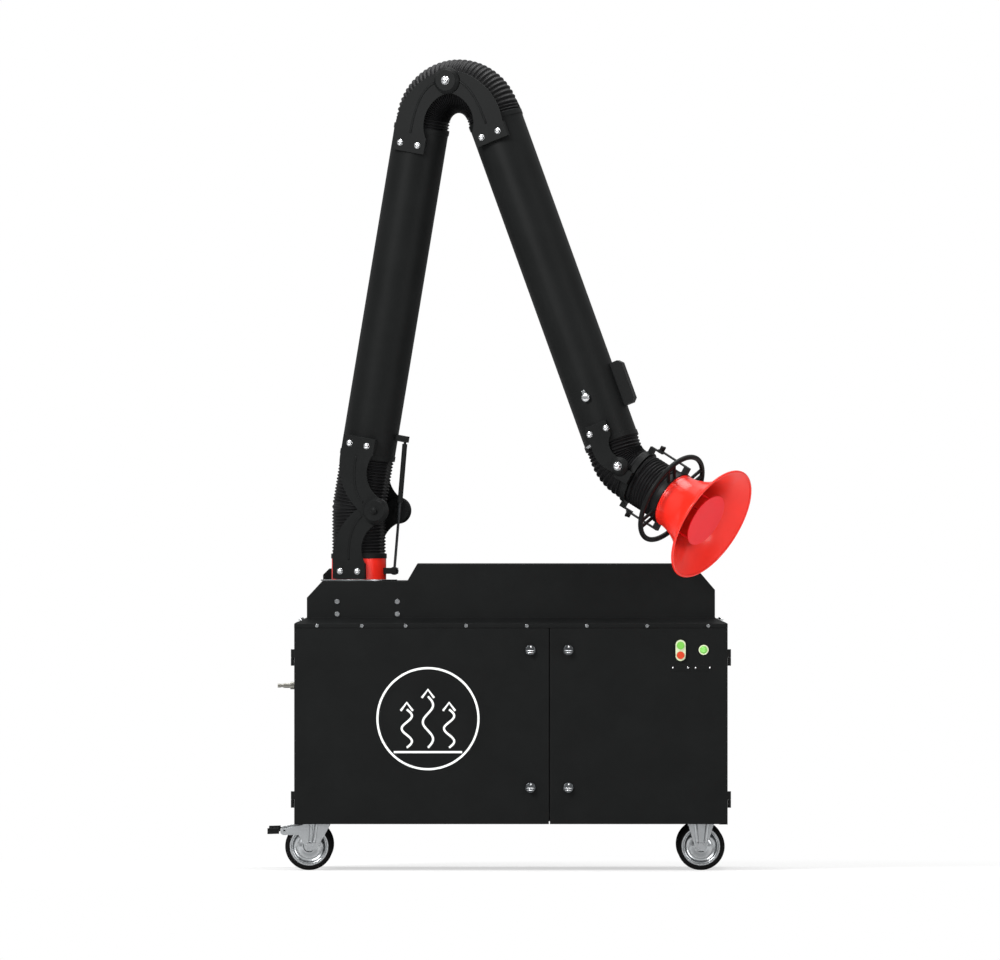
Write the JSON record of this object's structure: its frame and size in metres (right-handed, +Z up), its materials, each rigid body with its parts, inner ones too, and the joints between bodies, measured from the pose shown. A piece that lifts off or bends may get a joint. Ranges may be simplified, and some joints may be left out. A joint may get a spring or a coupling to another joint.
{
  "type": "welding fume extractor",
  "caption": "Mobile welding fume extractor: dark filter cabinet on casters with a jointed suction arm, ribbed hoses and a red bell-mouthed hood",
  "frame": {"origin": "floor level below the middle of the whole part's bounding box", "axes": "+X to the right seen from the front, +Y to the back, +Z up; the doors face -Y"},
  "size_m": [1.4143, 1.1325, 2.3766],
  "materials": {
    "powder_coat": "fine textured powder coat",
    "arm_coat": "smooth satin paint",
    "hose_black": "ribbed flexible hose",
    "signal_red": "glossy red",
    "black_plastic": "moulded black",
    "zinc": "zinc plated",
    "tyre_black": "solid rubber",
    "bright_chrome": "polished",
    "brass_fitting": "turned",
    "ivory_plastic": "moulded",
    "green_plastic": "moulded",
    "red_plastic": "moulded",
    "lamp_glass": "tinted lens",
    "filter_media": "pleated media",
    "tank_grey": "enamel"
  },
  "bodies": {
    "cabinet": {"base_frame": "powder_coat", "side_panels": "powder_coat", "rear_panel": "powder_coat", "partition": "powder_coat", "cowl": "powder_coat", "cabinet_screws": "zinc", "hinge_leaves": "zinc", "air_nipple": "brass_fitting", "push_handle": "black_plastic", "exhaust_grille": "powder_coat", "cable_gland": "black_plastic", "filter_cartridges": "filter_media", "dust_drawer": "zinc", "air_tank": "tank_grey", "fan_housing": "zinc", "fan_motor": "tank_grey", "caster_plates": "zinc", "fixed_forks": "zinc", "arm_flange": "zinc"},
    "fan": {"fan_impeller": "zinc"},
    "left_door": {"left_door": "powder_coat"},
    "right_door": {"right_door": "powder_coat", "control_bezels": "ivory_plastic", "pilot_lamp": "lamp_glass"},
    "left_latch_low": {"left_latch_low": "bright_chrome"},
    "left_latch_high": {"left_latch_high": "bright_chrome"},
    "right_latch_low": {"right_latch_low": "bright_chrome"},
    "right_latch_high": {"right_latch_high": "bright_chrome"},
    "start_button": {"start_button": "green_plastic"},
    "stop_button": {"stop_button": "red_plastic"},
    "left_front_swivel": {"left_front_fork": "zinc"},
    "left_rear_swivel": {"left_rear_fork": "zinc"},
    "left_front_wheel": {"left_front_tyre": "tyre_black", "left_front_rim": "zinc"},
    "left_rear_wheel": {"left_rear_tyre": "tyre_black", "left_rear_rim": "zinc"},
    "right_front_wheel": {"right_front_tyre": "tyre_black", "right_front_rim": "zinc"},
    "right_rear_wheel": {"right_rear_tyre": "tyre_black", "right_rear_rim": "zinc"},
    "left_front_pedal": {"left_front_pedal": "black_plastic"},
    "left_rear_pedal": {"left_rear_pedal": "black_plastic"},
    "turret": {"arm_collar": "signal_red", "base_brackets": "arm_coat", "base_hose": "hose_black"},
    "strut_cylinder": {"strut_cylinder": "arm_coat"},
    "strut_rod": {"strut_rod": "bright_chrome"},
    "lower_arm": {"lower_tube": "arm_coat", "lower_brackets": "arm_coat", "elbow_hose": "hose_black"},
    "outer_arm": {"outer_tube": "arm_coat", "outer_brackets": "arm_coat", "grab_handle": "black_plastic", "hood_hose_upper": "hose_black"},
    "damper": {"damper": "zinc"},
    "gimbal": {"gimbal_ring": "arm_coat", "hood_hose_lower": "hose_black"},
    "hood": {"hood": "signal_red", "baffle_disc": "signal_red", "handwheel": "black_plastic"}
  },
  "joints": [
    {"name": "arm_yaw", "type": "hinge", "parent": "cabinet", "child": "turret", "pos_m": [-0.446, 0.009, 0.88], "axis": [0, 0, 1], "range_deg": [-290, 0]},
    {"name": "lower_pitch", "type": "hinge", "parent": "turret", "child": "lower_arm", "pos_m": [-0.36331, -0.0211, 1.0545], "axis": [0.342, 0.9397, 0], "range_deg": [-25, 10], "deforming": ["base_hose"]},
    {"name": "strut_swing", "type": "hinge", "parent": "lower_arm", "child": "strut_cylinder", "pos_m": [-0.31003, -0.04049, 1.2636], "axis": [0.342, 0.9397, 0], "range_deg": [-4.71, 11.47]},
    {"name": "strut_slide", "type": "slide", "parent": "strut_cylinder", "child": "strut_rod", "axis": [-0.0829, 0.0302, -0.9961], "range_m": [-0.00459, 0.01073]},
    {"name": "elbow", "type": "hinge", "parent": "lower_arm", "child": "outer_arm", "pos_m": [-0.1546, -0.09706, 2.31407], "axis": [-0.342, -0.9397, 0], "range_deg": [-4, 100], "deforming": ["elbow_hose"]},
    {"name": "damper_turn", "type": "hinge", "parent": "outer_arm", "child": "damper", "pos_m": [0.24827, -0.24369, 1.38495], "axis": [0.342, 0.9397, 0], "range_deg": [0, 90]},
    {"name": "hood_pitch", "type": "hinge", "parent": "outer_arm", "child": "gimbal", "pos_m": [0.34894, -0.28033, 1.1844], "axis": [0.342, 0.9397, 0], "range_deg": [-25, 45], "deforming": ["hood_hose_upper"]},
    {"name": "hood_swing", "type": "hinge", "parent": "gimbal", "child": "hood", "pos_m": [0.39272, -0.29627, 1.13911], "axis": [-0.4599, 0.1674, -0.8721], "range_deg": [-25, 25], "deforming": ["hood_hose_lower"]},
    {"name": "left_door_swing", "type": "hinge", "parent": "cabinet", "child": "left_door", "pos_m": [-0.64, -0.15, 0.42], "axis": [0, 0, -1], "range_deg": [0, 110]},
    {"name": "right_door_swing", "type": "hinge", "parent": "cabinet", "child": "right_door", "pos_m": [0.64, -0.15, 0.42], "axis": [0, 0, 1], "range_deg": [0, 110]},
    {"name": "left_latch_low_turn", "type": "hinge", "parent": "left_door", "child": "left_latch_low", "pos_m": [0.0571, -0.156, 0.243], "axis": [0, 1, 0], "range_deg": [0, 90]},
    {"name": "left_latch_high_turn", "type": "hinge", "parent": "left_door", "child": "left_latch_high", "pos_m": [0.0571, -0.156, 0.646], "axis": [0, 1, 0], "range_deg": [0, 90]},
    {"name": "right_latch_low_turn", "type": "hinge", "parent": "right_door", "child": "right_latch_low", "pos_m": [0.1681, -0.156, 0.243], "axis": [0, -1, 0], "range_deg": [0, 90]},
    {"name": "right_latch_high_turn", "type": "hinge", "parent": "right_door", "child": "right_latch_high", "pos_m": [0.1681, -0.156, 0.646], "axis": [0, -1, 0], "range_deg": [0, 90]},
    {"name": "start_press", "type": "slide", "parent": "right_door", "child": "start_button", "axis": [0, 1, 0], "range_m": [0, 0.003], "stiffness_N_per_m": 400},
    {"name": "stop_press", "type": "slide", "parent": "right_door", "child": "stop_button", "axis": [0, 1, 0], "range_m": [0, 0.003], "stiffness_N_per_m": 400},
    {"name": "left_front_swivel_turn", "type": "hinge", "parent": "cabinet", "child": "left_front_swivel", "pos_m": [-0.559, -0.056, 0.155], "axis": [0, 0, 1], "continuous": true},
    {"name": "left_front_roll", "type": "hinge", "parent": "left_front_swivel", "child": "left_front_wheel", "pos_m": [-0.592, -0.056, 0.07], "axis": [0, 1, 0], "continuous": true},
    {"name": "left_front_brake", "type": "hinge", "parent": "left_front_swivel", "child": "left_front_pedal", "pos_m": [-0.664, -0.056, 0.116], "axis": [0, -1, 0], "range_deg": [0, 12]},
    {"name": "left_rear_swivel_turn", "type": "hinge", "parent": "cabinet", "child": "left_rear_swivel", "pos_m": [-0.559, 0.444, 0.155], "axis": [0, 0, 1], "continuous": true},
    {"name": "left_rear_roll", "type": "hinge", "parent": "left_rear_swivel", "child": "left_rear_wheel", "pos_m": [-0.592, 0.444, 0.07], "axis": [0, 1, 0], "continuous": true},
    {"name": "left_rear_brake", "type": "hinge", "parent": "left_rear_swivel", "child": "left_rear_pedal", "pos_m": [-0.664, 0.444, 0.116], "axis": [0, -1, 0], "range_deg": [0, 12]},
    {"name": "right_front_roll", "type": "hinge", "parent": "cabinet", "child": "right_front_wheel", "pos_m": [0.557, -0.056, 0.07], "axis": [0, 1, 0], "continuous": true},
    {"name": "right_rear_roll", "type": "hinge", "parent": "cabinet", "child": "right_rear_wheel", "pos_m": [0.557, 0.444, 0.07], "axis": [0, 1, 0], "continuous": true},
    {"name": "fan_spin", "type": "hinge", "parent": "cabinet", "child": "fan", "pos_m": [0.375, 0.344, 0.344], "axis": [0, 1, 0], "continuous": true}
  ],
  "couplings": [
    {"joint": "strut_swing", "follows": "lower_pitch", "ratio": -0.45074},
    {"joint": "strut_slide", "follows": "lower_pitch", "m_per_rad": -0.023436}
  ]
}
